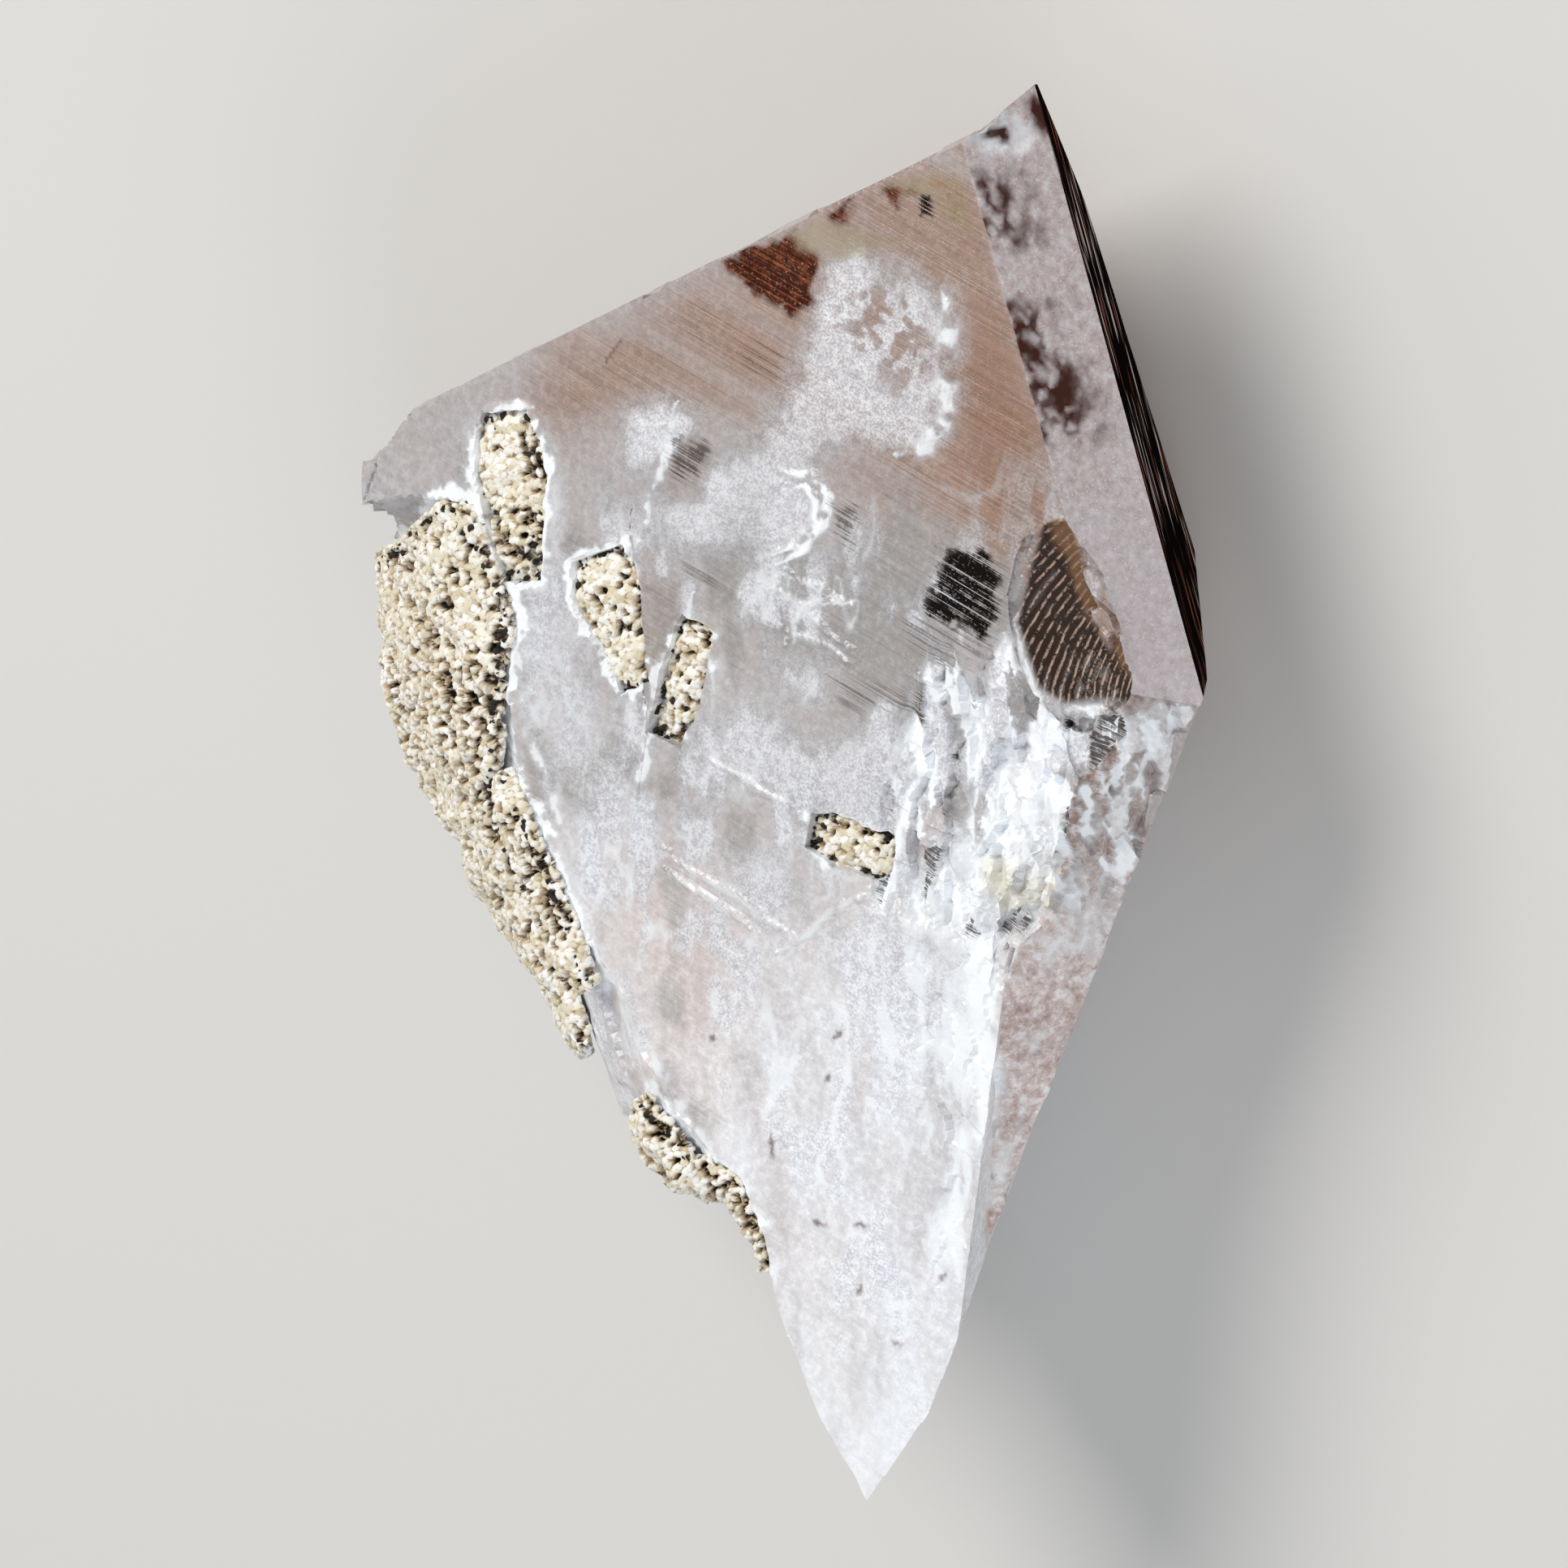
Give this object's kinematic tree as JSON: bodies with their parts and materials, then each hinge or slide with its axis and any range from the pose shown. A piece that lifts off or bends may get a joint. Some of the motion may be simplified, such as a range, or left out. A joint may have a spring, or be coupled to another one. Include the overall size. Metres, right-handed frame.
{
  "type": "smoky quartz point",
  "caption": "Natural smoky quartz crystal point lying on a prism face, with a slanted pyramid tip, a broken tapering root and patches of granular crust on its shoulder.",
  "frame": {"origin": "on the back prism face, which the crystal rests on, under the middle of the broad front face", "axes": "+Y along the crystal's c axis towards the tip, +Z the outward normal of the broad front prism face, up as it lies; +X completes the right-handed frame, towards the bevelled side"},
  "size_m": [0.0595, 0.0755, 0.0208],
  "materials": {
    "smoky_quartz": "translucent smoky quartz, glassy faces with milky fractures",
    "granular_crust": "matte, granular"
  },
  "bodies": {
    "root": {"quartz_point": "smoky_quartz", "crust_flank": "granular_crust", "crust_strip": "granular_crust", "crust_foot": "granular_crust", "crust_upper_pocket": "granular_crust", "crust_middle_pocket": "granular_crust", "crust_inner_pocket": "granular_crust", "crust_small_pocket": "granular_crust"}
  },
  "joints": []
}
